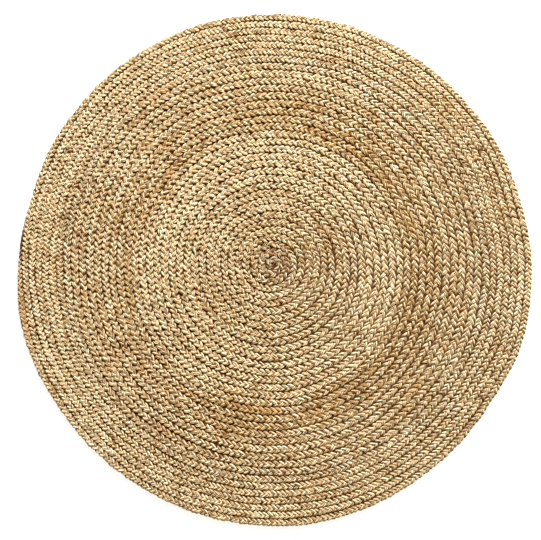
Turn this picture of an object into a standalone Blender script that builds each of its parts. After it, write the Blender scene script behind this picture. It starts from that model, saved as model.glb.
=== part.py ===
"""A round jute rug: one long three-strand braid coiled flat and sewn edge to edge.

The whole mat is one solid. Each turn of the coil is a low rounded row on the top, the rim is
rounded like the braid, and the underside is flat at z = 0. Strands and stitches are surface
work and are not modelled here. Metres, +Z up, origin under the middle of the mat.
"""

import math
from collections import namedtuple

import bmesh
import bpy
from mathutils import Vector

# Driving sizes
DIAMETER = 1.200
THICKNESS = 0.010
GROOVE_DEPTH = 0.0025

# The turns of the coil, counted from the middle: the inner ones are braided a little wider
INNER_TURNS = 28
INNER_TURN_WIDTH = 0.0175
OUTER_TURNS = 7

# The coil was started a little off the middle of the finished mat
COIL_CENTRE = Vector((-0.007, 0.0105, 0.0))

# Smoothness of the solid
STEPS_ROUND = 60
RIM_STEPS = 4
SHARP_ANGLE = math.radians(50)
MERGE_DISTANCE = 0.00001

# How far the sewn edge stands out from, or falls short of, a true circle. Bearings run
# anticlockwise from +X seen from above. The braid tapers away in the hollow at 165.
EdgePoint = namedtuple("EdgePoint", "bearing_deg out_mm")
EDGE = (
    EdgePoint(3, 6.0),
    EdgePoint(12, 1.0),
    EdgePoint(25, 2.0),
    EdgePoint(50, -1.2),
    EdgePoint(68, -1.4),
    EdgePoint(108, 1.2),
    EdgePoint(130, -0.8),
    EdgePoint(150, -2.4),
    EdgePoint(165, -5.2),
    EdgePoint(178, 0.5),
    EdgePoint(192, 7.0),
    EdgePoint(202, 4.0),
    EdgePoint(212, -0.8),
    EdgePoint(228, -3.0),
    EdgePoint(262, 0.0),
    EdgePoint(279, 3.2),
    EdgePoint(302, -2.4),
    EdgePoint(326, -5.4),
    EdgePoint(345, 8.5),
    EdgePoint(354, 5.0),
)

RADIUS = DIAMETER / 2
OUTER_TURN_WIDTH = (RADIUS - INNER_TURNS * INNER_TURN_WIDTH) / OUTER_TURNS


def turn_widths():
    """The width of each turn, from the middle outwards."""
    return [INNER_TURN_WIDTH] * INNER_TURNS + [OUTER_TURN_WIDTH] * OUTER_TURNS


def mat_profile():
    """Half a section of the mat: over the rows, round the rim and back under to the middle."""
    groove_z = THICKNESS - GROOVE_DEPTH
    points = [Vector((0, 0, groove_z))]
    inner_edge = 0.0
    for width in turn_widths():
        points.append(Vector((inner_edge + width / 2, 0, THICKNESS)))
        inner_edge += width
        points.append(Vector((inner_edge, 0, groove_z)))
    points.pop()

    rim_width = OUTER_TURN_WIDTH / 2
    for step in range(1, RIM_STEPS + 1):
        angle = math.pi / 2 - math.pi * step / RIM_STEPS
        x = RADIUS - rim_width + rim_width * math.cos(angle)
        z = THICKNESS / 2 + THICKNESS / 2 * math.sin(angle)
        points.append(Vector((x, 0, z)))
    points.append(Vector((0, 0, 0)))
    return points


def turn_profile(bm, points):
    """Turns the profile round +Z into one closed skin."""
    verts = [bm.verts.new(point) for point in points]
    edges = [bm.edges.new(pair) for pair in zip(verts, verts[1:])]
    bmesh.ops.spin(
        bm,
        geom=verts + edges,
        cent=(0, 0, 0),
        axis=(0, 0, 1),
        angle=2 * math.pi,
        steps=STEPS_ROUND,
        use_merge=True,
    )
    bmesh.ops.remove_doubles(bm, verts=bm.verts, dist=MERGE_DISTANCE)
    bmesh.ops.recalc_face_normals(bm, faces=bm.faces)


def edge_offset(bearing):
    """How far the edge stands out at a bearing in radians, eased between the rows of EDGE."""
    degrees = math.degrees(bearing) % 360
    if degrees < EDGE[0].bearing_deg:
        degrees += 360
    following = EDGE[1:] + (EdgePoint(EDGE[0].bearing_deg + 360, EDGE[0].out_mm),)
    for start, end in zip(EDGE, following):
        if degrees <= end.bearing_deg:
            break
    share = (degrees - start.bearing_deg) / (end.bearing_deg - start.bearing_deg)
    eased = (1 - math.cos(math.pi * share)) / 2
    return (start.out_mm + (end.out_mm - start.out_mm) * eased) / 1000


def make_uneven(bm):
    """Pushes the edge in and out, less towards the middle, and moves the coil's start off centre."""
    for vert in bm.verts:
        flat = Vector((vert.co.x, vert.co.y, 0))
        share = (flat.length / RADIUS) ** 2
        bulge = 1 + edge_offset(math.atan2(flat.y, flat.x)) * share / RADIUS
        vert.co.x *= bulge
        vert.co.y *= bulge
        vert.co += COIL_CENTRE * max(0.0, 1 - share)


def centre_on_origin(bm):
    """Puts the middle of the mat's bounding box on the Z axis."""
    xs = [vert.co.x for vert in bm.verts]
    ys = [vert.co.y for vert in bm.verts]
    middle = Vector(((min(xs) + max(xs)) / 2, (min(ys) + max(ys)) / 2, 0))
    bmesh.ops.translate(bm, verts=bm.verts, vec=-middle)


def jute_material():
    """Raw golden-beige jute, matt with a slight silkiness."""
    material = bpy.data.materials.new("natural_jute")
    material.use_nodes = True
    shader = material.node_tree.nodes["Principled BSDF"]
    shader.inputs["Base Color"].default_value = (0.50, 0.36, 0.18, 1.0)
    shader.inputs["Roughness"].default_value = 0.75
    shader.inputs["Metallic"].default_value = 0.0
    return material


def build_rug():
    """The mat as one named object in its own collection."""
    bm = bmesh.new()
    turn_profile(bm, mat_profile())
    make_uneven(bm)
    centre_on_origin(bm)
    mesh = bpy.data.meshes.new("braided_rug")
    bm.to_mesh(mesh)
    bm.free()
    mesh.shade_smooth()
    mesh.set_sharp_from_angle(angle=SHARP_ANGLE)
    mesh.materials.append(jute_material())

    collection = bpy.data.collections.new("round_jute_rug")
    bpy.context.scene.collection.children.link(collection)
    collection.objects.link(bpy.data.objects.new("braided_rug", mesh))


def main():
    for obj in list(bpy.data.objects):
        bpy.data.objects.remove(obj, do_unlink=True)
    build_rug()


main()
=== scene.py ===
"""The looks of a round jute rug: one long three-strand plait, coiled flat and sewn edge to edge."""

import math
from collections import namedtuple

import bmesh
import bpy
import numpy as np
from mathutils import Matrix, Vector, noise


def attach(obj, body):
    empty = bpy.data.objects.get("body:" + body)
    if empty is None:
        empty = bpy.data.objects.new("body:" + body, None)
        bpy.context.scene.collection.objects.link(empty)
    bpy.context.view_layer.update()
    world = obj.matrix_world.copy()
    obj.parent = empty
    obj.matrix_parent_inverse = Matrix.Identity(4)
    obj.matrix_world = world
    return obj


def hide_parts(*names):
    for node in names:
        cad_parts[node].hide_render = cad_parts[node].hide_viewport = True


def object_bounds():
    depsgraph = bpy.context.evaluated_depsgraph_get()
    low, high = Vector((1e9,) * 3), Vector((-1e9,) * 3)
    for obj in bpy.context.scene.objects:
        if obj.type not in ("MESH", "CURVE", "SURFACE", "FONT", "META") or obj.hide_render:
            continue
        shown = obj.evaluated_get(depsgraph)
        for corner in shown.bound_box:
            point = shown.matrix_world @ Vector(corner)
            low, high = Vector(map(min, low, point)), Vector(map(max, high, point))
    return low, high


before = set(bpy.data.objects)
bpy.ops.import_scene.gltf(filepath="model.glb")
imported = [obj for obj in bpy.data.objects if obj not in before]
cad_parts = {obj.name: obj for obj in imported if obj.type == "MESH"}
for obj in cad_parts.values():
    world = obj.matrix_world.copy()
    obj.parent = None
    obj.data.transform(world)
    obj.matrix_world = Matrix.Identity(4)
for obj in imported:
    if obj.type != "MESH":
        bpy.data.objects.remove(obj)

cad_low, cad_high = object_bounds()

NODE = "braided_rug"
BODY = "root"
MM = 0.001

# ---------------------------------------------------------------- sizes, in metres

RADIUS = 0.600
INNER_TURNS = 28
INNER_TURN_WIDTH = 0.0175
OUTER_TURNS = 7
OUTER_TURN_WIDTH = (RADIUS - INNER_TURNS * INNER_TURN_WIDTH) / OUTER_TURNS
TURNS = INNER_TURNS + OUTER_TURNS
COIL_CENTRE = np.array([-0.007, 0.0105])
STRANDS = 3

# The plait winds outwards clockwise seen from above and tapers away at this bearing
END_BEARING = math.radians(166)
STEPS_PER_TURN = 360

# It starts and ends narrow: the turn it starts at, the share of its width there and at its end,
# and how many turns it takes to fill out and to taper away
START_TURN = 0.42
START_WIDTH = 0.60
START_TAPER = 0.7
END_WIDTH = 0.10
END_TAPER = 0.060

# Rows wander a little as they are sewn: how far, over what distance, and how near the rim it stops
WANDER = 3.2 * MM
WANDER_LENGTH = 0.10
CALM_RIM = 0.05

# Where the noise that gives the wander is read, for its two directions
WANDER_EAST = Vector((3.7, 1.2, 0.4))
WANDER_NORTH = Vector((8.1, 5.6, 2.6))

# Reading the rim of the CAD mat: how near its middle height, and smoothed over how many degrees
RIM_TOLERANCE = 0.2 * MM
SMOOTHING = 7

# How high the middle of the plait lies
PLAIT_MIDDLE = 5.0 * MM

# The core inside the plait, a dark sheet of painted shade seen at the bottom of the gaps
CORE_STEPS_PER_TURN = 120
CORE_INSET = 5.0 * MM
CORE_CREST = 6.7 * MM
CORE_GROOVE = 5.6 * MM
CORE_UNDERSIDE = 3.2 * MM
SAME_POINT = 0.02 * MM


# ---------------------------------------------------------------- node helpers

# Noise nodes give values round 0.5, which these spread out round 0
NOISE_MIDDLE = 0.5
RIPPLE_GAIN = 2.6
GRAIN_GAIN = 3.0


class Field:
    """A number worked out by a node tree: arithmetic on it adds Math nodes."""

    def __init__(self, tree, socket):
        self.tree = tree
        self.socket = socket

    def __add__(self, other):
        return maths(self.tree, "ADD", self, other)

    def __radd__(self, other):
        return maths(self.tree, "ADD", other, self)

    def __sub__(self, other):
        return maths(self.tree, "SUBTRACT", self, other)

    def __rsub__(self, other):
        return maths(self.tree, "SUBTRACT", other, self)

    def __mul__(self, other):
        return maths(self.tree, "MULTIPLY", self, other)

    def __rmul__(self, other):
        return maths(self.tree, "MULTIPLY", other, self)

    def __truediv__(self, other):
        return maths(self.tree, "DIVIDE", self, other)

    def __rtruediv__(self, other):
        return maths(self.tree, "DIVIDE", other, self)


def wire(tree, value, socket):
    """Feeds a socket with a field, another socket or a plain value."""
    if isinstance(value, Field):
        value = value.socket
    if isinstance(value, bpy.types.NodeSocket):
        tree.links.new(value, socket)
    else:
        socket.default_value = value


def add_node(tree, kind, inputs=None, **settings):
    """One node, with its settings and its inputs by name or number."""
    node = tree.nodes.new(kind)
    for name, value in settings.items():
        setattr(node, name, value)
    for name, value in (inputs or {}).items():
        wire(tree, value, node.inputs[name])
    return node


def maths(tree, operation, *values, clamp=False):
    node = tree.nodes.new("ShaderNodeMath")
    node.operation = operation
    node.use_clamp = clamp
    for value, socket in zip(values, node.inputs):
        wire(tree, value, socket)
    return Field(tree, node.outputs[0])


def vectors(tree, operation, *values):
    node = tree.nodes.new("ShaderNodeVectorMath")
    node.operation = operation
    for value, socket in zip(values, node.inputs):
        wire(tree, value, socket)
    return node.outputs["Vector"]


def scaled(tree, vector, amount):
    node = add_node(tree, "ShaderNodeVectorMath", {0: vector, "Scale": amount}, operation="SCALE")
    return node.outputs["Vector"]


def joined(tree, x, y, z):
    return add_node(tree, "ShaderNodeCombineXYZ", {0: x, 1: y, 2: z}).outputs[0]


def parted(tree, vector):
    node = add_node(tree, "ShaderNodeSeparateXYZ", {0: vector})
    return [Field(tree, socket) for socket in node.outputs]


def between(tree, value, low, high, smooth=False):
    """0 where the value is at low, 1 where it is at high, clamped."""
    node = add_node(tree, "ShaderNodeMapRange", {"Value": value, "From Min": low, "From Max": high})
    if smooth:
        node.interpolation_type = "SMOOTHSTEP"
    return Field(tree, node.outputs[0])


def wave(tree, field):
    return maths(tree, "SINE", field)


def ripple(tree, along, seed, wavelength):
    """Smooth random values, mostly from -0.6 to 0.6, that change along a length."""
    spot = maths(tree, "DIVIDE", along, wavelength)
    spot = maths(tree, "ADD", spot, seed)
    node = add_node(
        tree,
        "ShaderNodeTexNoise",
        {"W": spot, "Scale": 1.0, "Detail": 1.0},
        noise_dimensions="1D",
    )
    return (Field(tree, node.outputs[0]) - NOISE_MIDDLE) * RIPPLE_GAIN


def grain(tree, vector, detail=1.0):
    """Smooth random values from about -1 to 1 that change in space."""
    node = add_node(tree, "ShaderNodeTexNoise", {"Vector": vector, "Scale": 1.0, "Detail": detail})
    return (Field(tree, node.outputs[0]) - NOISE_MIDDLE) * GRAIN_GAIN


# ---------------------------------------------------------------- the path of the plait


def turn_edge(turn):
    """Radius of the plait's outer edge after so many turns, before the rug is made uneven."""
    inner = np.clip(turn, 0, INNER_TURNS) * INNER_TURN_WIDTH
    return inner + np.maximum(turn - INNER_TURNS, 0) * OUTER_TURN_WIDTH


def width_share(turn):
    """The plait narrows where it starts in the middle and where it tapers away at the rim."""
    start = np.clip((turn - START_TURN) / START_TAPER, 0, 1)
    end = np.clip((TURNS - turn) / END_TAPER, 0, 1)
    return (START_WIDTH + (1 - START_WIDTH) * start) * (END_WIDTH + (1 - END_WIDTH) * end)


def bearing_of(turn):
    return END_BEARING + 2 * math.pi * (TURNS - turn)


def edge_of_cad():
    """Bearings and radii of the rim of the CAD mat, all the way round."""
    corners = np.array([v.co for v in bpy.data.objects[NODE].data.vertices])
    middle = (cad_low.z + cad_high.z) / 2
    rim = corners[np.abs(corners[:, 2] - middle) < RIM_TOLERANCE]
    bearings = np.arctan2(rim[:, 1], rim[:, 0]) % (2 * math.pi)
    order = np.argsort(bearings)
    return bearings[order], np.hypot(rim[:, 0], rim[:, 1])[order]


def stretch_table():
    """How much the finished edge stands out from the plain spiral, in one-degree steps."""
    grid = np.radians(np.arange(360))
    bearings, radii = edge_of_cad()
    edge = np.interp(grid, bearings, radii, period=2 * math.pi)
    behind = ((END_BEARING - grid) / (2 * math.pi)) % 1
    last = TURNS - 1 + behind
    outside = turn_edge(last - 1) + (turn_edge(last) - turn_edge(last - 1)) * width_share(last)
    stretch = edge / outside
    padded = np.concatenate([stretch[-SMOOTHING:], stretch, stretch[:SMOOTHING]])
    weights = np.hanning(2 * SMOOTHING + 3)[1:-1] / (SMOOTHING + 1)
    return np.convolve(padded, weights, "valid")


STRETCH = stretch_table()


def wander(x, y):
    """A slow drift, the same for neighbouring rows, so that they stay side by side."""
    spot = Vector((x, y, 0)) / WANDER_LENGTH
    return noise.noise(spot + WANDER_EAST), noise.noise(spot + WANDER_NORTH)


def place(radius, bearing):
    """Where a point of the plain spiral lies in the finished, uneven rug."""
    share = (radius / RADIUS) ** 2
    degrees = np.degrees(bearing) % 360
    pull = np.interp(degrees, np.arange(361), np.append(STRETCH, STRETCH[0]))
    reach = radius * (1 + (pull - 1) * share)
    x = reach * np.cos(bearing) + COIL_CENTRE[0] * np.clip(1 - share, 0, 1)
    y = reach * np.sin(bearing) + COIL_CENTRE[1] * np.clip(1 - share, 0, 1)
    calm = WANDER * np.clip((RADIUS - radius) / CALM_RIM, 0, 1)
    drift = np.array([wander(*spot) for spot in zip(x, y)])
    return np.stack([x, y], axis=-1) + drift * calm[:, None]


# Where the plait is orange-brown for a while, and where one of its strands has a dark knot:
# radius and length in metres, bearing in degrees
Spot = namedtuple("Spot", "radius bearing length")
ORANGE_LENGTHS = (
    Spot(0.328, 266, 0.090),
    Spot(0.345, 284, 0.050),
    Spot(0.485, 124, 0.110),
    Spot(0.590, 190, 0.120),
    Spot(0.440, 320, 0.060),
    Spot(0.380, 78, 0.050),
)
DARK_KNOTS = (
    Spot(0.472, 171, 0.010),
    Spot(0.467, 255, 0.010),
    Spot(0.579, 281, 0.011),
    Spot(0.543, 255, 0.009),
    Spot(0.578, 196, 0.012),
    Spot(0.567, 216, 0.009),
    Spot(0.569, 103, 0.010),
    Spot(0.548, 151, 0.009),
    Spot(0.558, 31, 0.009),
    Spot(0.569, 328, 0.011),
)


def spotted(turn, spots):
    """1 where the plait has one of the spots, 0 elsewhere, soft at the ends."""
    bearing = bearing_of(turn)
    middle = (turn_edge(turn) + turn_edge(turn - 1)) / 2
    share = np.zeros(len(turn))
    for spot in spots:
        away = (bearing - math.radians(spot.bearing) + math.pi) % (2 * math.pi) - math.pi
        same_bearing = np.abs(away) < math.radians(1)
        nearest = np.argmin(np.abs(middle - spot.radius) + ~same_bearing)
        travelled = np.abs(turn - turn[nearest]) * 2 * math.pi * spot.radius
        share = np.maximum(share, np.clip(1.5 - 2 * travelled / spot.length, 0, 1))
    return share


def plait_path():
    """The middle line of the plait: points, half widths and turn counts, evenly spaced in angle."""
    steps = int((TURNS - START_TURN) * STEPS_PER_TURN)
    turn = np.linspace(START_TURN, TURNS, steps + 1)
    inside = turn_edge(turn - 1)
    full = turn_edge(turn) - inside
    width = full * width_share(turn)
    middle = inside + width / 2
    bearing = bearing_of(turn)
    points = place(middle, bearing)
    half = np.linalg.norm(place(middle + width / 2, bearing) - points, axis=1)
    marks = {"orange": spotted(turn, ORANGE_LENGTHS), "knot": spotted(turn, DARK_KNOTS)}
    return points, {"half": half, "turn": turn, **marks}


def path_length(points):
    return np.concatenate([[0], np.cumsum(np.linalg.norm(np.diff(points, axis=0), axis=1))])


# The plait is made in lengths: the turn each ends at, and how far one leaf is from the next
LENGTHS = (
    {"name": "plait_middle_turns", "until": 10.0, "leaf_pitch": 0.0125},
    {"name": "plait_inner_turns", "until": 17.5, "leaf_pitch": 0.0137},
    {"name": "plait_half_way_turns", "until": 23.2, "leaf_pitch": 0.0137},
    {"name": "plait_outer_turns", "until": 28.0, "leaf_pitch": 0.0137},
    {"name": "plait_border_turns", "until": 31.7, "leaf_pitch": 0.0109},
    {"name": "plait_edge_turns", "until": TURNS, "leaf_pitch": 0.0109},
)


def plait_lengths():
    """Cuts the path into lengths that hold a whole number of plaiting rounds each."""
    points, carried = plait_path()
    along = path_length(points)
    start = 0.0
    made = []
    for row in LENGTHS:
        end = float(np.interp(row["until"], carried["turn"], along))
        cuts = np.concatenate([[start], along[(along > start) & (along < end)], [end]])
        made.append(
            {
                "name": row["name"],
                "points": np.stack([np.interp(cuts, along, points[:, i]) for i in (0, 1)], axis=1),
                "carried": {name: np.interp(cuts, along, carried[name]) for name in carried},
                "before": start,
                "rounds": round((end - start) / (STRANDS * row["leaf_pitch"])),
            }
        )
        start = end
    return made


def new_piece(name, mesh):
    piece = bpy.data.objects.new(name, mesh)
    bpy.context.scene.collection.objects.link(piece)
    return piece


def path_object(length):
    """A length of the path as a line of edges that carries its half width, turn and spots."""
    points = length["points"]
    mesh = bpy.data.meshes.new(length["name"])
    corners = [(x, y, 0.0) for x, y in points]
    edges = [(i, i + 1) for i in range(len(points) - 1)]
    mesh.from_pydata(corners, edges, [])
    for name, values in length["carried"].items():
        layer = mesh.attributes.new(name, "FLOAT", "POINT")
        layer.data.foreach_set("value", values.astype(np.float32))
    return new_piece(length["name"], mesh)


# ---------------------------------------------------------------- the plaiting tree

PLAIT_INPUTS = (
    ("Rounds", "NodeSocketInt", 300),
    ("Rings per Round", "NodeSocketInt", 10),
    ("Sides", "NodeSocketInt", 8),
    ("Length Before", "NodeSocketFloat", 0.0),
    ("Middle Height", "NodeSocketFloat", PLAIT_MIDDLE),
    ("Rise", "NodeSocketFloat", 0.0023),
    ("Strand Swing", "NodeSocketFloat", 0.65),
    ("Leaf Half Width", "NodeSocketFloat", 0.46),
    ("Turned Half Width", "NodeSocketFloat", 0.42),
    ("Leaf Half Depth", "NodeSocketFloat", 0.0032),
    ("Turned Half Depth", "NodeSocketFloat", 0.0031),
    ("Full Half Width", "NodeSocketFloat", 0.0060),
    ("Crease Depth", "NodeSocketFloat", 0.75),
    ("Lumpiness", "NodeSocketFloat", 0.22),
    ("Lump Length", "NodeSocketFloat", 0.010),
    ("Unevenness", "NodeSocketFloat", 1.0),
    ("Seed", "NodeSocketFloat", 3.0),
    ("Jute", "NodeSocketMaterial", None),
)

# How the plait is uneven: a number that keeps each law apart from the others, the length over
# which it changes, and how far it goes
Uneven = namedtuple("Uneven", "number length amount")
LEAF_TIMING = Uneven(5.1, 0.050, 0.50)
SLOW_TIMING = Uneven(71.9, 0.62, 2.0)
ROW_WIDTH = Uneven(11.7, 0.30, 0.13)
ROW_SWAY = Uneven(2.9, 0.16, 0.0009)
STRAND_REACH = Uneven(14.3, 0.040, 0.24)
STRAND_RISE = Uneven(9.2, 0.05, 0.45)
STRAND_HEIGHT = Uneven(21.7, 0.030, 0.0011)
LEAF_PLUMPNESS = Uneven(0.0, 0.034, 0.36)
YARN_PLUMPNESS = Uneven(8.8, 0.60, 0.22)
CREASING = Uneven(3.3, 0.021, 1.0)
LEAF_TONE = Uneven(55.5, 0.017, 1.0)

# How far apart the strands are in the noise, and along the yarn's own pattern
SEED_STEP = 37.3
YARN_STEP = 70

# A strand crosses the row nearly straight and turns sharply at its edge, its section is a little
# boxy, with lumps of this fineness round it and a narrow crease, and it is held just off the floor
SHARP_TURN = 0.07
BOXINESS = 0.24
LUMPS_AROUND = 1.3
CREASE_NARROWNESS = 4
LOWEST_SKIN = 0.3 * MM

# The ring that is swept first, before each strand gets its own section
SECTION_RADIUS = 1.0 * MM


def new_tree(name, inputs):
    """An empty geometry tree with named inputs."""
    tree = bpy.data.node_groups.new(name, "GeometryNodeTree")
    tree.interface.new_socket("Geometry", in_out="INPUT", socket_type="NodeSocketGeometry")
    for label, kind, value in inputs:
        socket = tree.interface.new_socket(label, in_out="INPUT", socket_type=kind)
        if value is not None:
            socket.default_value = value
    tree.interface.new_socket("Geometry", in_out="OUTPUT", socket_type="NodeSocketGeometry")
    given = tree.nodes.new("NodeGroupInput")
    result = tree.nodes.new("NodeGroupOutput")
    return tree, given, result


def stored_number(tree, name):
    node = add_node(tree, "GeometryNodeInputNamedAttribute", {"Name": name}, data_type="FLOAT")
    return Field(tree, node.outputs[0])


def captured(tree, geometry, domain="POINT", **values):
    """Fixes fields on the geometry as it is now; a capture item is a (type, field) pair."""
    node = tree.nodes.new("GeometryNodeCaptureAttribute")
    node.domain = domain
    for name, (kind, _) in values.items():
        node.capture_items.new(kind, name)
    tree.links.new(geometry, node.inputs[0])
    for number, (_, value) in enumerate(values.values()):
        wire(tree, value, node.inputs[number + 1])
    return node.outputs[0], [node.outputs[i + 1] for i in range(len(values))]


def store(tree, geometry, name, kind, value):
    node = add_node(
        tree,
        "GeometryNodeStoreNamedAttribute",
        {"Geometry": geometry, "Name": name, "Value": value},
        data_type=kind,
        domain="POINT",
    )
    return node.outputs[0]


def finish_tree(tree, result, geometry, material):
    """Smooth shading, Realize Instances and Set Material, as every tree ends."""
    smooth = add_node(tree, "GeometryNodeSetShadeSmooth", {"Geometry": geometry}).outputs[0]
    real = add_node(tree, "GeometryNodeRealizeInstances", {"Geometry": smooth}).outputs[0]
    dressed = add_node(
        tree, "GeometryNodeSetMaterial", {"Geometry": real, "Material": material}
    ).outputs[0]
    tree.links.new(dressed, result.inputs[0])


def plaiting_tree():
    """Three strands plaited flat along a line: each is swept along its own weaving path."""
    tree, given, result = new_tree("plait_three_strands", PLAIT_INPUTS)
    put = {row[0]: Field(tree, given.outputs[row[0]]) for row in PLAIT_INPUTS}

    line = add_node(tree, "GeometryNodeMeshToCurve", {"Mesh": given.outputs["Geometry"]}).outputs[0]
    count = put["Rounds"] * put["Rings per Round"] + 1
    even = add_node(
        tree, "GeometryNodeResampleCurve", {"Curve": line, "Count": count}
    ).outputs[0]
    copies = add_node(
        tree,
        "GeometryNodeDuplicateElements",
        {"Geometry": even, "Amount": STRANDS},
        domain="SPLINE",
    )
    place_on = add_node(tree, "GeometryNodeSplineParameter")
    along = Field(tree, place_on.outputs["Length"]) + put["Length Before"]
    tangent = tree.nodes.new("GeometryNodeInputTangent").outputs[0]
    across = vectors(tree, "NORMALIZE", vectors(tree, "CROSS_PRODUCT", tangent, (0, 0, 1)))
    rail = tree.nodes.new("GeometryNodeInputPosition").outputs[0]
    curves, (strand, step, along, across, rail) = captured(
        tree,
        copies.outputs[0],
        strand=("FLOAT", copies.outputs["Duplicate Index"]),
        step=("FLOAT", place_on.outputs["Index"]),
        along=("FLOAT", along),
        across=("VECTOR", across),
        rail=("VECTOR", rail),
    )
    strand, step, along = (Field(tree, socket) for socket in (strand, step, along))
    row_seed = put["Seed"]
    own_seed = strand * SEED_STEP + row_seed

    def uneven(law, seed):
        """How far one law has changed the plait at this point, for a row or for one strand."""
        change = ripple(tree, along, seed + law.number, law.length)
        return change * put["Unevenness"] * law.amount

    # The weaving law: a strand swings from edge to edge and is on top on its way outwards
    angle = step / put["Rings per Round"] * math.tau + strand * (math.tau / STRANDS)
    angle = angle + uneven(LEAF_TIMING, own_seed) + uneven(SLOW_TIMING, row_seed)
    swing = wave(tree, angle) - SHARP_TURN * wave(tree, angle * 3)
    lift = wave(tree, angle * 2)
    turned = wave(tree, angle) * wave(tree, angle)

    half = stored_number(tree, "half")
    full = between(tree, half, 0.0, put["Full Half Width"])
    half = half * (1 + uneven(ROW_WIDTH, row_seed))
    reach = put["Strand Swing"] * (1 + uneven(STRAND_REACH, own_seed))
    side = half * reach * swing + uneven(ROW_SWAY, row_seed) * full
    plump = 1 + uneven(LEAF_PLUMPNESS, own_seed) + uneven(YARN_PLUMPNESS, own_seed)
    rise = put["Rise"] * lift * (1 + uneven(STRAND_RISE, own_seed))
    height = (put["Middle Height"] + rise + uneven(STRAND_HEIGHT, own_seed)) * full
    offset = vectors(tree, "ADD", scaled(tree, across, side), joined(tree, 0.0, 0.0, height))
    woven = add_node(
        tree, "GeometryNodeSetPosition", {"Geometry": curves, "Offset": offset}
    ).outputs[0]

    leaf = put["Leaf Half Width"] + (put["Turned Half Width"] - put["Leaf Half Width"]) * turned
    depth = put["Leaf Half Depth"] + (put["Turned Half Depth"] - put["Leaf Half Depth"]) * turned
    heading = tree.nodes.new("GeometryNodeInputTangent").outputs[0]
    flank = vectors(tree, "NORMALIZE", vectors(tree, "CROSS_PRODUCT", heading, (0, 0, 1)))
    upward = vectors(tree, "CROSS_PRODUCT", flank, heading)
    centre = tree.nodes.new("GeometryNodeInputPosition").outputs[0]
    crease = maths(tree, "MAXIMUM", uneven(CREASING, own_seed), 0.0)
    tone = uneven(LEAF_TONE, own_seed)
    woven, (centre, flank, upward, wide, deep, crease, tone) = captured(
        tree,
        woven,
        centre=("VECTOR", centre),
        flank=("VECTOR", flank),
        upward=("VECTOR", upward),
        wide=("FLOAT", half * leaf * plump),
        deep=("FLOAT", depth * plump * full),
        crease=("FLOAT", crease * put["Crease Depth"]),
        tone=("FLOAT", tone),
    )

    # The swept ring carries its section, from -1 to 1, which then gives the skin its true place
    ring = add_node(
        tree,
        "GeometryNodeCurvePrimitiveCircle",
        {"Resolution": put["Sides"], "Radius": SECTION_RADIUS},
    ).outputs[0]
    spot = tree.nodes.new("GeometryNodeInputPosition").outputs[0]
    section = scaled(tree, spot, 1 / SECTION_RADIUS)
    ring, (section,) = captured(tree, ring, section=("VECTOR", section))
    swept = add_node(
        tree,
        "GeometryNodeCurveToMesh",
        {"Curve": woven, "Profile Curve": ring, "Fill Caps": True},
    ).outputs[0]

    # Each strand is a loose bundle: its skin is lumpy, and its back is creased where it splits
    x, y, _ = parted(tree, section)
    lump_along = (along + own_seed) / put["Lump Length"]
    lumps = grain(tree, joined(tree, lump_along, x * LUMPS_AROUND, y * LUMPS_AROUND))
    corner = maths(tree, "ABSOLUTE", x * y) * BOXINESS
    lumps = 1 + lumps * put["Lumpiness"] + corner
    ridge = maths(tree, "MAXIMUM", 1 - x * x * CREASE_NARROWNESS, 0.0)
    back = maths(tree, "ABSOLUTE", y) * ridge * Field(tree, crease)
    sideways = x * Field(tree, wide) * lumps
    upwards = y * Field(tree, deep) * (lumps - back)
    skin = vectors(tree, "ADD", scaled(tree, flank, sideways), scaled(tree, upward, upwards))
    skin = vectors(tree, "ADD", centre, skin)
    east, north, level = parted(tree, skin)
    resting = joined(tree, east, north, maths(tree, "MAXIMUM", level, LOWEST_SKIN))
    shaped = add_node(
        tree, "GeometryNodeSetPosition", {"Geometry": swept, "Position": resting}
    ).outputs[0]

    # What the material reads: the place across the row and on the strand, and the leaf's tone
    off_rail = vectors(tree, "SUBTRACT", skin, rail)
    to_side = add_node(
        tree, "ShaderNodeVectorMath", {0: off_rail, 1: across}, operation="DOT_PRODUCT"
    )
    row_side = Field(tree, to_side.outputs["Value"]) / stored_number(tree, "half")
    shaped = store(tree, shaped, "row_side", "FLOAT", row_side)
    shaped = store(tree, shaped, "along", "FLOAT", along)
    shaped = store(tree, shaped, "leaf_tone", "FLOAT", tone)
    shaped = store(tree, shaped, "flank", "FLOAT", maths(tree, "ABSOLUTE", x))
    yarn = joined(tree, along + strand * YARN_STEP, sideways, upwards)
    shaped = store(tree, shaped, "yarn", "FLOAT_VECTOR", yarn)
    finish_tree(tree, result, shaped, put["Jute"])
    return tree


FIBRE_INPUTS = (
    ("Fibres", "NodeSocketInt", 2000),
    ("Points per Fibre", "NodeSocketInt", 6),
    ("Sides", "NodeSocketInt", 3),
    ("Shortest", "NodeSocketFloat", 0.006),
    ("Longest", "NodeSocketFloat", 0.022),
    ("Half Thickness", "NodeSocketFloat", 0.00040),
    ("Turned Aside", "NodeSocketFloat", 0.75),
    ("Spread", "NodeSocketFloat", 0.85),
    ("Lowest", "NodeSocketFloat", 0.0084),
    ("Highest", "NodeSocketFloat", 0.0094),
    ("Tucked In", "NodeSocketFloat", 0.0026),
    ("End Thickness", "NodeSocketFloat", 0.3),
    ("Bend", "NodeSocketFloat", 0.0040),
    ("Bend Length", "NodeSocketFloat", 0.012),
    ("Seed", "NodeSocketInt", 5),
    ("Jute", "NodeSocketMaterial", None),
)


# Each use of chance has a number below this, so that two seeds never share one
MOST_CHANCES = 17


def chance(tree, low, high, seed, number):
    """A random value for each fibre; number tells one use of it from another."""
    picked = tree.nodes.new("FunctionNodeRandomValue")
    picked.data_type = "FLOAT"
    wire(tree, low, picked.inputs[2])
    wire(tree, high, picked.inputs[3])
    wire(tree, seed * MOST_CHANCES + number, picked.inputs["Seed"])
    return Field(tree, picked.outputs[1])


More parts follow.
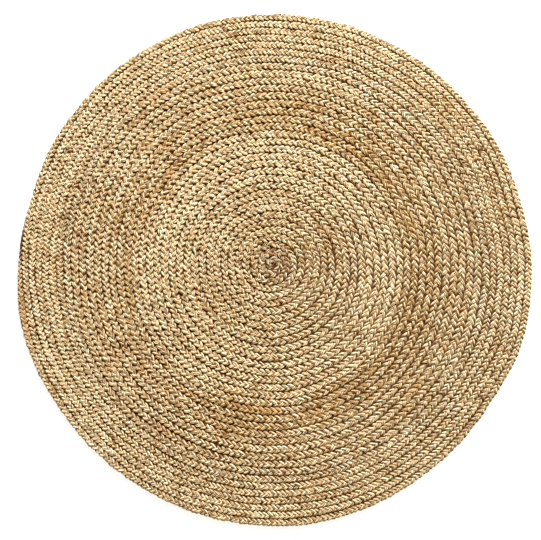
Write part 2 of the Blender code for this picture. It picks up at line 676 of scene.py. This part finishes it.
def stray_fibre_tree():
    """Loose fibres that lie on a row: thin, a little bent, thick in the middle, ends tucked in."""
    tree, given, result = new_tree("stray_fibres", FIBRE_INPUTS)
    put = {row[0]: Field(tree, given.outputs[row[0]]) for row in FIBRE_INPUTS}
    seed = put["Seed"]
    line = add_node(tree, "GeometryNodeMeshToCurve", {"Mesh": given.outputs["Geometry"]}).outputs[0]
    spots = add_node(
        tree, "GeometryNodeResampleCurve", {"Curve": line, "Count": put["Fibres"]}
    ).outputs[0]
    tangent = tree.nodes.new("GeometryNodeInputTangent").outputs[0]
    across = vectors(tree, "NORMALIZE", vectors(tree, "CROSS_PRODUCT", tangent, (0, 0, 1)))
    side = stored_number(tree, "half") * put["Spread"] * chance(tree, -1.0, 1.0, seed, 1)
    height = chance(tree, put["Lowest"], put["Highest"], seed, 2)
    offset = vectors(tree, "ADD", scaled(tree, across, side), joined(tree, 0.0, 0.0, height))
    spots = store(tree, spots, "tone", "FLOAT", chance(tree, 0.0, 1.0, seed, 3))
    east, north, _ = parted(tree, tangent)
    heading = maths(tree, "ARCTAN2", north, east)
    heading = heading + put["Turned Aside"] * chance(tree, -1.0, 1.0, seed, 4)
    heading = heading + put["Turned Aside"] * chance(tree, -1.0, 1.0, seed, 5)
    size = chance(tree, put["Shortest"], put["Longest"], seed, 6)
    spots, (offset, heading, size) = captured(
        tree,
        spots,
        offset=("VECTOR", offset),
        heading=("FLOAT", heading),
        size=("FLOAT", size),
    )
    spots = add_node(
        tree, "GeometryNodeSetPosition", {"Geometry": spots, "Offset": offset}
    ).outputs[0]

    straight = add_node(
        tree, "GeometryNodeCurvePrimitiveLine", {"Start": (-0.5, 0, 0), "End": (0.5, 0, 0)}
    ).outputs[0]
    straight = add_node(
        tree, "GeometryNodeResampleCurve", {"Curve": straight, "Count": put["Points per Fibre"]}
    ).outputs[0]
    turning = add_node(
        tree, "FunctionNodeEulerToRotation", {"Euler": joined(tree, 0.0, 0.0, heading)}
    ).outputs[0]
    laid = add_node(
        tree,
        "GeometryNodeInstanceOnPoints",
        {"Points": spots, "Instance": straight, "Rotation": turning, "Scale": size},
    ).outputs[0]
    fibres = add_node(tree, "GeometryNodeRealizeInstances", {"Geometry": laid}).outputs[0]

    share = Field(tree, tree.nodes.new("GeometryNodeSplineParameter").outputs["Factor"])
    bulge = wave(tree, share * math.pi)
    spot = tree.nodes.new("GeometryNodeInputPosition").outputs[0]
    bends = add_node(
        tree,
        "ShaderNodeTexNoise",
        {"Vector": spot, "Scale": 1 / put["Bend Length"], "Detail": 1.0},
    )
    east, north, _ = parted(tree, bends.outputs["Color"])
    east = (east - NOISE_MIDDLE) * put["Bend"]
    north = (north - NOISE_MIDDLE) * put["Bend"]
    tuck = (bulge - 1) * put["Tucked In"]
    thickness = bulge * (1 - put["End Thickness"]) + put["End Thickness"]
    fibres = add_node(
        tree,
        "GeometryNodeSetPosition",
        {"Geometry": fibres, "Offset": joined(tree, east, north, tuck)},
    ).outputs[0]
    ring = add_node(
        tree,
        "GeometryNodeCurvePrimitiveCircle",
        {"Resolution": put["Sides"], "Radius": put["Half Thickness"]},
    ).outputs[0]
    swept = add_node(
        tree,
        "GeometryNodeCurveToMesh",
        {"Curve": fibres, "Profile Curve": ring, "Scale": thickness, "Fill Caps": True},
    ).outputs[0]
    finish_tree(tree, result, swept, put["Jute"])
    return tree


def grow(piece, tree, **values):
    """Runs a tree on an object and leaves the result as its plain mesh."""
    modifier = piece.modifiers.new(tree.name, "NODES")
    modifier.node_group = tree
    inputs = [item for item in tree.interface.items_tree if item.in_out == "INPUT"]
    sockets = {item.name: item.identifier for item in inputs}
    for label, value in values.items():
        modifier[sockets[label.replace("_", " ")]] = value
    graph = bpy.context.evaluated_depsgraph_get()
    mesh = bpy.data.meshes.new_from_object(piece.evaluated_get(graph), depsgraph=graph)
    piece.modifiers.remove(modifier)
    old = piece.data
    piece.data = mesh
    bpy.data.meshes.remove(old)
    mesh.name = piece.name
    return piece


# ---------------------------------------------------------------- the pressed core


def core_sheet():
    """The core inside the plait, a dark sheet for painted shade: one closed sheet, ridged along the
    spiral, flat below.
    """
    steps = TURNS * CORE_STEPS_PER_TURN
    turn = np.arange(steps + 1) / CORE_STEPS_PER_TURN
    narrowed = turn_edge(turn - 1) + (turn_edge(turn) - turn_edge(turn - 1)) * np.where(
        turn < TURNS - 1, 1, width_share(turn)
    )
    narrowed[-1] = turn_edge(TURNS - 1)
    # The sheet stops short of the rim, so that the plait hides its edge
    inset = 1 - CORE_INSET / RADIUS
    groove = narrowed * inset
    crest = (turn_edge(turn - 1) * inset + groove) / 2
    bearing = bearing_of(turn)
    grooves = place(groove, bearing)
    crests = place(crest, bearing)
    count = steps + 1
    middle = place(np.zeros(1), np.zeros(1))[0]

    corners = [(*middle, CORE_GROOVE)]
    corners += [(x, y, CORE_GROOVE) for x, y in grooves]
    corners += [(x, y, CORE_CREST) for x, y in crests]
    upper = len(corners)
    corners += [(x, y, CORE_UNDERSIDE) for x, y, _ in corners]

    def inner(step):
        """The corner on the groove inside this row."""
        return 0 if step < CORE_STEPS_PER_TURN else step - CORE_STEPS_PER_TURN + 1

    faces = []
    for step in range(steps):
        crest_here, crest_next = step + 1 + count, step + 2 + count
        rows = (
            (inner(step), inner(step + 1), crest_next, crest_here),
            (crest_here, crest_next, step + 2, step + 1),
        )
        for row in rows:
            top = tuple(dict.fromkeys(row))
            if len(top) < 3:
                continue
            faces.append(top)
            faces.append(tuple(i + upper for i in reversed(top)))
    for step in range(steps - CORE_STEPS_PER_TURN, steps):
        a, b = step + 1, step + 2
        faces.append((a, b, b + upper, a + upper))
    mesh = bpy.data.meshes.new("pressed_core")
    mesh.from_pydata(corners, [], faces)
    return tidy_mesh(mesh)


def tidy_mesh(mesh):
    """Merges doubles, drops faces of no width and points every face outwards."""
    shell = bmesh.new()
    shell.from_mesh(mesh)
    bmesh.ops.remove_doubles(shell, verts=shell.verts, dist=SAME_POINT)
    bmesh.ops.dissolve_degenerate(shell, edges=shell.edges, dist=SAME_POINT / 2)
    bmesh.ops.recalc_face_normals(shell, faces=shell.faces)
    for face in shell.faces:
        face.smooth = True
    shell.to_mesh(mesh)
    shell.free()
    return mesh


# ---------------------------------------------------------------- materials

# Jute as it comes in the rug: lengths of it differ from straw to a golden brown. The darkest ones
# are also used for painted shade
JUTE = {
    "dull": (0.32, 0.203, 0.090),
    "straw": (0.565, 0.405, 0.195),
    "pale": (0.72, 0.55, 0.295),
    "golden": (0.485, 0.315, 0.120),
    "greyed": (0.51, 0.395, 0.22),
    "cream": (0.92, 0.82, 0.58),
    # The jute's own dark fibre tone, also the light painted shade below the top of the plait and
    # part of the dark core's painted shade
    "brown": (0.235, 0.095, 0.012),
    "orange": (0.43, 0.225, 0.070),
    # Painted shade in lines along flanks, splits, seams and the rim; also the jute's own dark in
    # knots
    "line": (0.110, 0.033, 0.001),
    # Painted shade deep in the gaps and in the dark core
    "gap_shade": (0.045, 0.012, 0.0005),
}

# Which jute the plait is made of, turn by turn from the middle
TURN_TONES = (
    (0.0, "dull"),
    (2.4, "dull"),
    (3.6, "straw"),
    (9.0, "straw"),
    (15.0, "pale"),
    (17.8, "pale"),
    (18.5, "golden"),
    (21.8, "golden"),
    (23.4, "straw"),
    (27.2, "straw"),
    (28.2, "greyed"),
    (29.2, "straw"),
    (30.4, "pale"),
    (31.6, "straw"),
    (33.2, "pale"),
    (35.0, "straw"),
)


def mixed(tree, share, first, second):
    """Blends two colours by a share from 0 to 1."""
    node = tree.nodes.new("ShaderNodeMix")
    node.data_type = "RGBA"
    wire(tree, share, node.inputs[0])
    wire(tree, first, node.inputs[6])
    wire(tree, second, node.inputs[7])
    return node.outputs[2]


def colour(name):
    return (*JUTE[name], 1.0)


def tinted(tree, share, base, name):
    """Blends one of the jute colours into the base colour."""
    return mixed(tree, share, base, colour(name))


def number_attribute(tree, name):
    node = add_node(tree, "ShaderNodeAttribute", attribute_name=name)
    return Field(tree, node.outputs["Fac"])


def vector_attribute(tree, name):
    return add_node(tree, "ShaderNodeAttribute", attribute_name=name).outputs["Vector"]


def placed_group(tree, group, inputs):
    node = tree.nodes.new("ShaderNodeGroup")
    node.node_tree = group
    for name, value in inputs.items():
        wire(tree, value, node.inputs[name])
    return node


# Where the noise of the fibres starts, next to that of the bundles, and the bundles' share in
# the height
FIBRES_APART = 31.7
BUNDLE_RELIEF = 0.75
FIBRE_OUTPUTS = ("Bundles", "Fibres", "Height")


def fibre_group():
    """Jute fibres: streaks that run along the yarn, as a light and dark mask and as a height."""
    group = bpy.data.node_groups.new("jute_fibres", "ShaderNodeTree")
    for label, kind, value in (
        ("Yarn", "NodeSocketVector", None),
        ("Fibre Width", "NodeSocketFloat", 0.0018),
        ("Bundle Width", "NodeSocketFloat", 0.0027),
        ("Streak Length", "NodeSocketFloat", 0.010),
    ):
        socket = group.interface.new_socket(label, in_out="INPUT", socket_type=kind)
        if value is not None:
            socket.default_value = value
    for label in FIBRE_OUTPUTS:
        group.interface.new_socket(label, in_out="OUTPUT", socket_type="NodeSocketFloat")
    given = group.nodes.new("NodeGroupInput")
    result = group.nodes.new("NodeGroupOutput")
    along, sideways, upwards = parted(group, given.outputs["Yarn"])
    streak = Field(group, given.outputs["Streak Length"])
    bundle = Field(group, given.outputs["Bundle Width"])
    fibre = Field(group, given.outputs["Fibre Width"])
    along = along / streak
    bundles = grain(group, joined(group, along, sideways / bundle, upwards / bundle))
    along = along + FIBRES_APART
    fibres = grain(group, joined(group, along, sideways / fibre, upwards / fibre), 2.0)
    height = bundles * BUNDLE_RELIEF + fibres * (1 - BUNDLE_RELIEF)
    for value, socket in zip((bundles, fibres, height), result.inputs):
        wire(group, value, socket)
    return group


def tone_of_turn(tree):
    """The jute of each turn, as a smooth ramp from the middle to the rim."""
    ramp = tree.nodes.new("ShaderNodeValToRGB")
    ramp.color_ramp.interpolation = "EASE"
    stops = ramp.color_ramp.elements
    while len(stops) < len(TURN_TONES):
        stops.new(1.0)
    for stop, (turn, name) in zip(stops, TURN_TONES):
        stop.position = turn / TURNS
        stop.color = colour(name)
    wire(tree, number_attribute(tree, "turn") / TURNS, ramp.inputs[0])
    return ramp.outputs[0]


# How much each pattern lightens or darkens the jute
LIGHTENING = {
    "stripes": 0.58,
    "fine": 1.65,
    "leaf": 0.04,
    "lot": 0.34,
    "strand_lot": 0.10,
    "blotch": 0.30,
}

# How light the jute is without them, and how fast it turns to cream above 0 and to brown below
EVEN_LIGHT = 0.21
TO_CREAM = 0.75
TO_BROWN = -0.85

# Lighter lots of yarn and blotches are also golden: how fast, the blotches' part, and how far
TO_GOLDEN = 0.9
GOLDEN_BLOTCH = 0.8
GOLDEN_SHARE = 0.28

# The length, in metres, over which each pattern changes along the plait or along a strand
LOT_LENGTH = 0.28
STRAND_LOT_LENGTH = 0.12
SPLIT_LENGTH = 0.022
PATCH_LENGTH = 0.045
KNOT_LENGTH = 0.010
GAPING_LENGTH = 0.16
BLOTCHES_PER_METRE = 6.0

# Masks: the value at which each is 0 and the value at which it is 1. Depths are distances from
# the middle of the plait in metres, flanks and sides are shares of the half width
STRIPES = (-0.40, 0.40)
# These two place painted shade by depth
HALF_SHADED = (0.0046, 0.0022)
DEEP_SHADED = (0.0026, 0.0002)
# These two place painted shade lines down leaf flanks and splits
UNDER_FLANK_SHADE = (0.63, 0.90)
SPLIT_FLANK_SHADE = (0.26, 0.04)
SPLIT_LEAVES = (-0.9, 0.1)
GOLDEN_RING_INSIDE = (17.8, 18.6)
GOLDEN_RING_OUTSIDE = (28.2, 27.6)
PATCHES = (0.75, 1.15)
KNOTS = (0.80, 1.05)
PLACED_KNOTS = (-0.3, 0.0)
# The seam and rim masks place painted shade
SEAM_SHADE_SIDE = (0.86, 1.0)
SEAM_GAPING = (-0.1, 0.6)
LAST_TURN = (TURNS - 1.0, TURNS - 0.99)
RIM_SHADE_SIDE = (0.72, 1.0)
RIM_HALF_WIDTH = (0.003, 0.006)


def strand_grain(tree, length, number):
    """Random values along each strand; number tells one pattern from another."""
    strand_along, _, _ = parted(tree, vector_attribute(tree, "yarn"))
    return grain(tree, joined(tree, strand_along / length, number, 0.0))


def fibre_tones(tree, bundles, fine):
    """From brown to cream: by fibre and bundle, by lot of yarn, and by the turn of the coil."""
    along = number_attribute(tree, "along")
    turn = number_attribute(tree, "turn")
    on_rug = add_node(tree, "ShaderNodeTexCoord").outputs["Object"]
    lot = grain(tree, joined(tree, along / LOT_LENGTH, turn * 0.6, 0.0))
    blotch = grain(tree, scaled(tree, on_rug, BLOTCHES_PER_METRE), 2.0)
    patterns = {
        "stripes": between(tree, bundles, *STRIPES) * 2 - 1,
        "fine": fine,
        "leaf": number_attribute(tree, "leaf_tone"),
        "lot": lot,
        "strand_lot": strand_grain(tree, STRAND_LOT_LENGTH, 4.4),
        "blotch": blotch,
    }
    light = EVEN_LIGHT
    for name, share in LIGHTENING.items():
        light = light + patterns[name] * share
    golden = maths(tree, "MULTIPLY", lot + blotch * GOLDEN_BLOTCH, TO_GOLDEN, clamp=True)
    base = tinted(tree, golden * GOLDEN_SHARE, tone_of_turn(tree), "golden")
    base = tinted(tree, maths(tree, "MULTIPLY", light, TO_CREAM, clamp=True), base, "cream")
    return tinted(tree, maths(tree, "MULTIPLY", light, TO_BROWN, clamp=True), base, "brown")


def deep_shade(tree):
    """Painted shade by how deep in the plait a point lies: a light shade, and a near-black one at
    the bottom.
    """
    on_rug = add_node(tree, "ShaderNodeTexCoord").outputs["Object"]
    _, _, level = parted(tree, on_rug)
    depth = maths(tree, "ABSOLUTE", level - PLAIT_MIDDLE)
    half_shade = between(tree, depth, *HALF_SHADED, smooth=True)
    return half_shade, between(tree, depth, *DEEP_SHADED, smooth=True)


def leaf_shade_lines(tree, base, fine):
    """Painted shade: a dark line down each flank, where a leaf goes under the next, and down split
    leaves.
    """
    flank = number_attribute(tree, "flank")
    under = between(tree, flank, *UNDER_FLANK_SHADE) * (0.94 + fine * 0.3)
    base = tinted(tree, under, base, "line")
    splitting = strand_grain(tree, SPLIT_LENGTH, 17.3)
    split = between(tree, flank, *SPLIT_FLANK_SHADE) * between(tree, splitting, *SPLIT_LEAVES)
    return tinted(tree, split * 0.95, base, "line")


def patches_and_knots(tree, base):
    """Here and there a short length is orange-brown, and a strand has a dark knot."""
    along = number_attribute(tree, "along")
    turn = number_attribute(tree, "turn")
    patch = grain(tree, joined(tree, along / PATCH_LENGTH, turn * 0.8, 3.1))
    ring = between(tree, turn, *GOLDEN_RING_INSIDE) * between(tree, turn, *GOLDEN_RING_OUTSIDE)
    patch = between(tree, patch + ring * 0.30, *PATCHES) * 0.6
    patch = maths(tree, "MAXIMUM", patch, number_attribute(tree, "orange") * 0.5)
    base = tinted(tree, patch, base, "orange")
    knot = strand_grain(tree, KNOT_LENGTH, 51.7)
    placed = number_attribute(tree, "knot") * between(tree, knot, *PLACED_KNOTS)
    knot = maths(tree, "MAXIMUM", between(tree, knot, *KNOTS) * 0.75, placed * 0.95)
    return tinted(tree, knot, base, "line")


def seam_and_rim_shade(tree, base):
    """Painted shade in the seam between two rows, deeper where stretches of it gape, and along the
    outer side of the last row at the rim.
    """
    turn = number_attribute(tree, "turn")
    row_side = number_attribute(tree, "row_side")
    seam = between(tree, maths(tree, "ABSOLUTE", row_side), *SEAM_SHADE_SIDE)
    along = number_attribute(tree, "along")
    gaping = grain(tree, joined(tree, along / GAPING_LENGTH, 9.1, turn * 0.4))
    seam = seam * (between(tree, gaping, *SEAM_GAPING) * 0.6 + 0.4)
    rim = between(tree, turn, *LAST_TURN) * between(tree, row_side, *RIM_SHADE_SIDE)
    rim = rim * between(tree, number_attribute(tree, "half"), *RIM_HALF_WIDTH)
    return tinted(tree, maths(tree, "MAXIMUM", seam * 0.7, rim * 0.85), base, "line")


def plaited_jute(fibres):
    """The jute of the plait, with painted shade between its strands and rows."""
    material = bpy.data.materials.new("plaited_jute")
    material.use_nodes = True
    tree = material.node_tree
    shader = tree.nodes["Principled BSDF"]
    strands = placed_group(tree, fibres, {"Yarn": vector_attribute(tree, "yarn")}).outputs
    bundles, fine, height = (Field(tree, strands[name]) for name in FIBRE_OUTPUTS)
    half_shade, shade = deep_shade(tree)
    base = fibre_tones(tree, bundles, fine)
    # Painted shade: a little browner nearer the middle height of the plait, and near black deep in
    # the gaps
    base = tinted(tree, half_shade * 0.06, base, "brown")
    base = tinted(tree, shade * 0.95, base, "gap_shade")
    # Painted shade lines down flanks, splits, seams and the rim; the knots are the jute's own dark
    base = leaf_shade_lines(tree, base, fine)
    base = patches_and_knots(tree, base)
    base = seam_and_rim_shade(tree, base)
    wire(tree, base, shader.inputs["Base Color"])
    wire(tree, 0.66 - fine * 0.10 + shade * 0.2, shader.inputs["Roughness"])
    bump = add_node(tree, "ShaderNodeBump", {"Strength": 1.0, "Distance": 0.0018, "Height": height})
    wire(tree, bump.outputs[0], shader.inputs["Normal"])
    shader.inputs["Specular IOR Level"].default_value = 0.20
    shader.inputs["Specular Tint"].default_value = (1.0, 0.74, 0.38, 1.0)
    shader.inputs["Sheen Weight"].default_value = 0.05
    shader.inputs["Sheen Roughness"].default_value = 0.4
    shader.inputs["Sheen Tint"].default_value = (1.0, 0.86, 0.62, 1.0)
    return material


def stray_jute():
    """Single fibres, each its own tone between brown and cream."""
    material = bpy.data.materials.new("stray_jute")
    material.use_nodes = True
    tree = material.node_tree
    shader = tree.nodes["Principled BSDF"]
    share = between(tree, number_attribute(tree, "tone"), 0.15, 0.85)
    wire(tree, mixed(tree, share, colour("brown"), colour("cream")), shader.inputs["Base Color"])
    shader.inputs["Roughness"].default_value = 0.5
    shader.inputs["Specular IOR Level"].default_value = 0.4
    return material


def core_shade_material(fibres):
    """Painted shade for the bottom of the gaps: dark brown jute, matt."""
    material = bpy.data.materials.new("pressed_jute")
    material.use_nodes = True
    tree = material.node_tree
    shader = tree.nodes["Principled BSDF"]
    on_rug = add_node(tree, "ShaderNodeTexCoord").outputs["Object"]
    strands = placed_group(tree, fibres, {"Yarn": on_rug, "Streak Length": 0.004}).outputs
    fine = Field(tree, strands["Fibres"])
    base = mixed(tree, between(tree, fine, -0.3, 0.8) * 0.5, colour("gap_shade"), colour("brown"))
    wire(tree, base, shader.inputs["Base Color"])
    wire(tree, 0.85 + fine * 0.08, shader.inputs["Roughness"])
    bump = add_node(
        tree,
        "ShaderNodeBump",
        {"Strength": 0.6, "Distance": 0.0006, "Height": strands["Height"]},
    )
    wire(tree, bump.outputs[0], shader.inputs["Normal"])
    shader.inputs["Specular IOR Level"].default_value = 0.2
    return material


# ---------------------------------------------------------------- the pieces

fibres = fibre_group()
jute = plaited_jute(fibres)
core_shade = core_shade_material(fibres)

plaiting = plaiting_tree()
pieces = []
for length in plait_lengths():
    piece = path_object(length)
    grow(piece, plaiting, Rounds=length["rounds"], Length_Before=length["before"], Jute=jute)
    pieces.append(piece)

strays = stray_fibre_tree()
points, carried = plait_path()
whole = {"name": "stray_fibres", "points": points, "carried": carried}
pieces.append(grow(path_object(whole), strays, Jute=stray_jute()))

# The dark core is painted shade at the bottom of the gaps
core = new_piece("pressed_core", core_sheet())
core.data.materials.append(core_shade)

for piece in (*pieces, core):
    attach(piece, BODY)
    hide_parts(NODE)

# ---------------------------------------------------------------- floor, light, camera

FLOOR_REACH = 30
WHITE = (1, 1, 1, 1)


def floor():
    """A plain white floor that glows a little, so that the rug's shadow stays faint."""
    mesh = bpy.data.meshes.new("floor")
    reach = FLOOR_REACH
    corners = [(-reach, -reach, 0), (reach, -reach, 0), (reach, reach, 0), (-reach, reach, 0)]
    mesh.from_pydata(corners, [], [(0, 1, 2, 3)])
    piece = new_piece("floor", mesh)
    material = bpy.data.materials.new("white_floor")
    material.use_nodes = True
    shader = material.node_tree.nodes["Principled BSDF"]
    shader.inputs["Base Color"].default_value = (0.93, 0.93, 0.93, 1)
    shader.inputs["Roughness"].default_value = 0.9
    shader.inputs["Specular IOR Level"].default_value = 0.1
    shader.inputs["Emission Color"].default_value = WHITE
    shader.inputs["Emission Strength"].default_value = 0.82
    mesh.materials.append(material)


def add_light(name, kind, strength):
    lamp = bpy.data.lights.new(name, kind)
    lamp.energy = strength
    light = bpy.data.objects.new(name, lamp)
    bpy.context.scene.collection.objects.link(light)
    return light


def aim(light, direction):
    """Turns a light to shine along a direction."""
    light.rotation_euler = Vector(direction).to_track_quat("-Z", "Y").to_euler()


def studio():
    """A weak warm fill on the rug, and plain white where the camera sees past the floor."""
    world = bpy.data.worlds.new("studio")
    bpy.context.scene.world = world
    world.use_nodes = True
    tree = world.node_tree
    fill = tree.nodes["Background"]
    fill.inputs["Color"].default_value = (1.0, 0.70, 0.34, 1)
    fill.inputs["Strength"].default_value = 0.22
    backdrop = add_node(tree, "ShaderNodeBackground", {"Color": WHITE, "Strength": 1.6})
    seen = tree.nodes.new("ShaderNodeLightPath").outputs["Is Camera Ray"]
    shown = add_node(
        tree, "ShaderNodeMixShader", {0: seen, 1: fill.outputs[0], 2: backdrop.outputs[0]}
    )
    tree.links.new(shown.outputs[0], tree.nodes["World Output"].inputs["Surface"])


def lights():
    """A soft low key from beyond the +Y edge of the rug, and a window behind it."""
    key = add_light("key", "SUN", 6.0)
    key.data.angle = math.radians(7)
    aim(key, (-0.26, -1.0, -0.62))
    window = add_light("window", "AREA", 60.0)
    window.data.size = 1.2
    window.location = (0.45, 2.1, 1.5)
    aim(window, -window.location)


# The camera looks straight down from this height and sees this width of the floor
CAMERA_HEIGHT = 3.2
CAMERA_ASIDE = -0.0103
SEEN_WIDTH = 1.2705


def camera():
    data = bpy.data.cameras.new("camera")
    data.type = "PERSP"
    data.sensor_width = 36
    data.lens = data.sensor_width * CAMERA_HEIGHT / SEEN_WIDTH
    seen = bpy.data.objects.new("camera", data)
    seen.location = (CAMERA_ASIDE, 0.0, CAMERA_HEIGHT)
    bpy.context.scene.collection.objects.link(seen)
    bpy.context.scene.camera = seen


floor()
studio()
lights()
camera()
bpy.context.scene.view_settings.view_transform = "Standard"
